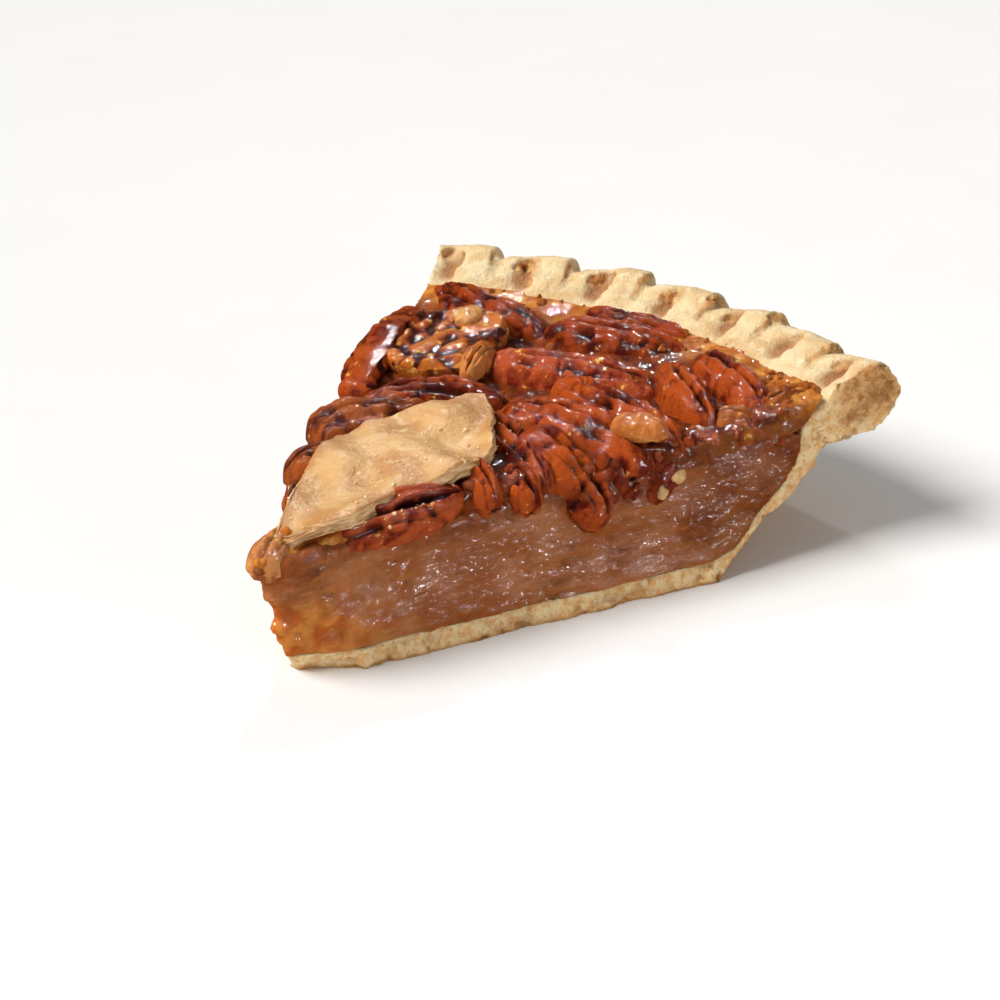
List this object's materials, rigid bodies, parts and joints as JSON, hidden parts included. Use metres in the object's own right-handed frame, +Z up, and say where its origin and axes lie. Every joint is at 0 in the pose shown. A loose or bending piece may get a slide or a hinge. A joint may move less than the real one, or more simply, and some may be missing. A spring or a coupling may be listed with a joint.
{
  "type": "slice of pecan pie",
  "caption": "Wedge of pecan pie: fluted pastry case, set custard, syrup layer with pecan halves and a baked pastry leaf on top.",
  "frame": {"origin": "on the flat underside of the case, on the slice's middle line, 60 mm from the pie's axis", "axes": "+X from the tip out to the rim along the middle of the slice; +Z up from the base"},
  "size_m": [0.1347, 0.1099, 0.0359],
  "materials": {
    "pastry": "floury baked shortcrust, matte",
    "leaf_pastry": "baked pastry with a thin egg-wash shine",
    "custard": "set custard, moist and slightly translucent",
    "syrup": "set amber syrup, glossy",
    "kernel": "roasted pecan glazed with syrup, glossy"
  },
  "bodies": {
    "root": {"crust": "pastry", "custard": "custard", "syrup": "syrup", "pastry_leaf": "leaf_pastry", "pecan_edge_hanging": "kernel", "pecan_oval_tip": "kernel", "pecan_centre_crown": "kernel", "pecan_centre_long": "kernel", "pecan_centre_right": "kernel", "pecan_gloss_left": "kernel", "pecan_gloss_right": "kernel", "pecan_corner_amber": "kernel", "pecan_corner_lump": "kernel", "pecan_flat_side_up": "kernel", "pecan_far_edge_red": "kernel", "pecan_rim_far": "kernel", "pecan_rim_middle": "kernel", "pecan_rim_dark": "kernel", "pecan_sliver_pale": "kernel", "pecan_left_upper": "kernel", "pecan_left_middle": "kernel", "pecan_left_lower": "kernel", "pecan_left_edge": "kernel", "pecan_beside_leaf": "kernel", "pecan_under_leaf": "kernel", "pecan_small_red": "kernel", "pecan_face_long": "kernel", "pecan_tip_caramel": "kernel", "pecan_face_embedded": "kernel", "pecan_face_cut_pale": "kernel"}
  },
  "joints": []
}
